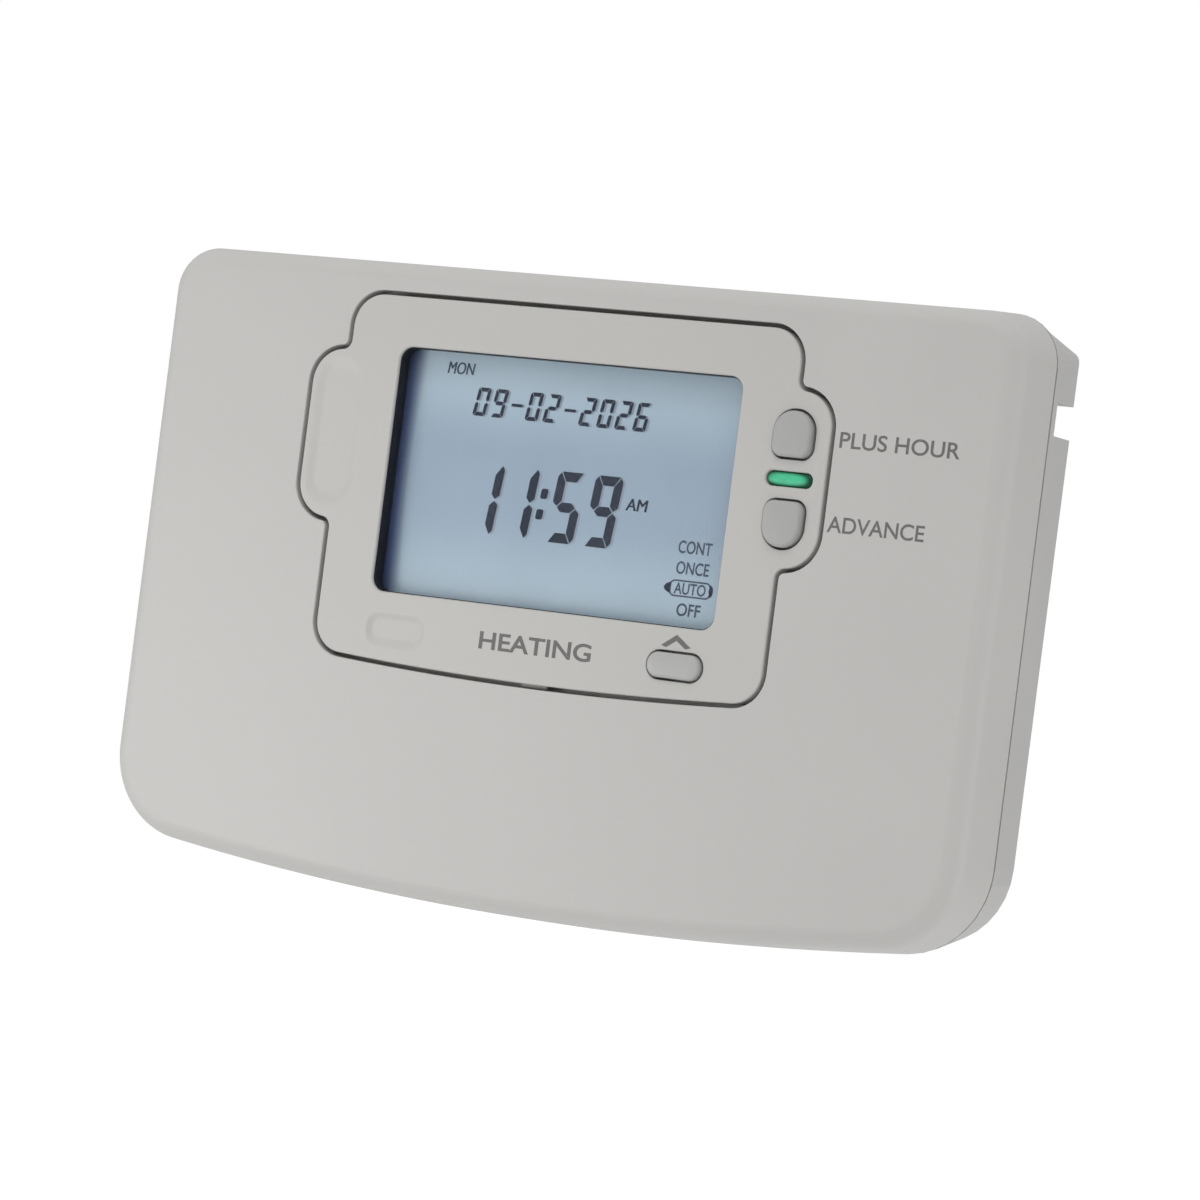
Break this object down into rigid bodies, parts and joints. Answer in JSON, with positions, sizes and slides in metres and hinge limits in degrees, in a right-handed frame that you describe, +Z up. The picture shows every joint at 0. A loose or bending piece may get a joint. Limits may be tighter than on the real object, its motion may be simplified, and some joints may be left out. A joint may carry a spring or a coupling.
{
  "type": "heating programmer",
  "caption": "Wall-mounted heating timer with a display island, push buttons, status light and a drop-down front flap over a row of programming keys.",
  "frame": {"origin": "middle of the case on the wall face, where the wall plate meets the wall", "axes": "+X to the right of a person facing the unit, +Y into the wall, +Z up"},
  "size_m": [0.14, 0.021, 0.09],
  "materials": {
    "case_plastic": "fine satin grain",
    "plate_plastic": "satin",
    "block_plastic": "satin",
    "button_plastic": "satin",
    "select_plastic": "satin",
    "key_plastic": "satin",
    "reset_plastic": "satin",
    "slider_plastic": "satin",
    "black_plastic": "satin",
    "yellow_plastic": "semi-gloss",
    "blue_lacquer": "lacquered",
    "black_rubber": "matt",
    "clear_window": "clear, polished",
    "lcd_glass": "satin polariser",
    "diffuser": "translucent white",
    "green_lens": "clear tinted, lit",
    "circuit_board": "solder mask",
    "fuse_ceramic": "glazed",
    "brass": "bright",
    "plated_steel": "bright zinc plate"
  },
  "bodies": {
    "unit": {"wall_plate": "plate_plastic", "terminal_block": "block_plastic", "terminal_clamps": "brass", "terminal_screws": "plated_steel", "rear_housing": "case_plastic", "inner_fascia": "case_plastic", "hinge_pins": "plated_steel", "display_gasket": "black_rubber", "display_window": "clear_window", "lcd_glass": "lcd_glass", "lcd_holder": "block_plastic", "backlight_panel": "diffuser", "elastomer_strips": "black_rubber", "main_board": "circuit_board", "contact_blades": "plated_steel", "dome_switches": "plated_steel", "status_led": "diffuser", "status_lens": "green_lens", "relay": "black_plastic", "film_capacitor": "yellow_plastic", "electrolytic_capacitor": "black_plastic", "varistor": "blue_lacquer", "fuse": "fuse_ceramic", "processor_chip": "black_plastic", "crystal": "plated_steel", "battery_cell": "plated_steel", "battery_clip": "plated_steel", "slide_switch_case": "black_plastic", "board_screws": "plated_steel", "case_screws": "plated_steel", "locking_screws": "plated_steel"},
    "flap": {"front_flap": "case_plastic"},
    "extra_time": {"extra_time_button": "button_plastic"},
    "override": {"override_button": "button_plastic"},
    "select": {"select_button": "select_plastic"},
    "clock": {"clock_key": "key_plastic"},
    "program": {"program_key": "key_plastic"},
    "day": {"day_key": "key_plastic"},
    "minus": {"minus_key": "key_plastic"},
    "plus": {"plus_key": "key_plastic"},
    "copy": {"copy_key": "key_plastic"},
    "reset": {"reset_key": "reset_plastic"},
    "slider": {"mode_slider": "slider_plastic"}
  },
  "joints": [
    {"name": "flap_hinge", "type": "hinge", "parent": "unit", "child": "flap", "pos_m": [0, -0.0152, -0.0394], "axis": [1, 0, 0], "range_deg": [0, 105]},
    {"name": "extra_time_press", "type": "slide", "parent": "unit", "child": "extra_time", "axis": [0, 1, 0], "range_m": [0, 0.0006], "stiffness_N_per_m": 400, "springref_m": -0.001},
    {"name": "override_press", "type": "slide", "parent": "unit", "child": "override", "axis": [0, 1, 0], "range_m": [0, 0.0006], "stiffness_N_per_m": 400, "springref_m": -0.001},
    {"name": "select_press", "type": "slide", "parent": "unit", "child": "select", "axis": [0, 1, 0], "range_m": [0, 0.0006], "stiffness_N_per_m": 400, "springref_m": -0.001},
    {"name": "clock_press", "type": "slide", "parent": "unit", "child": "clock", "axis": [0, 1, 0], "range_m": [0, 0.0005], "stiffness_N_per_m": 400, "springref_m": -0.001},
    {"name": "program_press", "type": "slide", "parent": "unit", "child": "program", "axis": [0, 1, 0], "range_m": [0, 0.0005], "stiffness_N_per_m": 400, "springref_m": -0.001},
    {"name": "day_press", "type": "slide", "parent": "unit", "child": "day", "axis": [0, 1, 0], "range_m": [0, 0.0005], "stiffness_N_per_m": 400, "springref_m": -0.001},
    {"name": "minus_press", "type": "slide", "parent": "unit", "child": "minus", "axis": [0, 1, 0], "range_m": [0, 0.0005], "stiffness_N_per_m": 400, "springref_m": -0.001},
    {"name": "plus_press", "type": "slide", "parent": "unit", "child": "plus", "axis": [0, 1, 0], "range_m": [0, 0.0005], "stiffness_N_per_m": 400, "springref_m": -0.001},
    {"name": "copy_press", "type": "slide", "parent": "unit", "child": "copy", "axis": [0, 1, 0], "range_m": [0, 0.0005], "stiffness_N_per_m": 400, "springref_m": -0.001},
    {"name": "reset_press", "type": "slide", "parent": "unit", "child": "reset", "axis": [0, 1, 0], "range_m": [0, 0.0005], "stiffness_N_per_m": 400, "springref_m": -0.001},
    {"name": "mode_slide", "type": "slide", "parent": "unit", "child": "slider", "axis": [0, 0, 1], "range_m": [0, 0.004]}
  ]
}
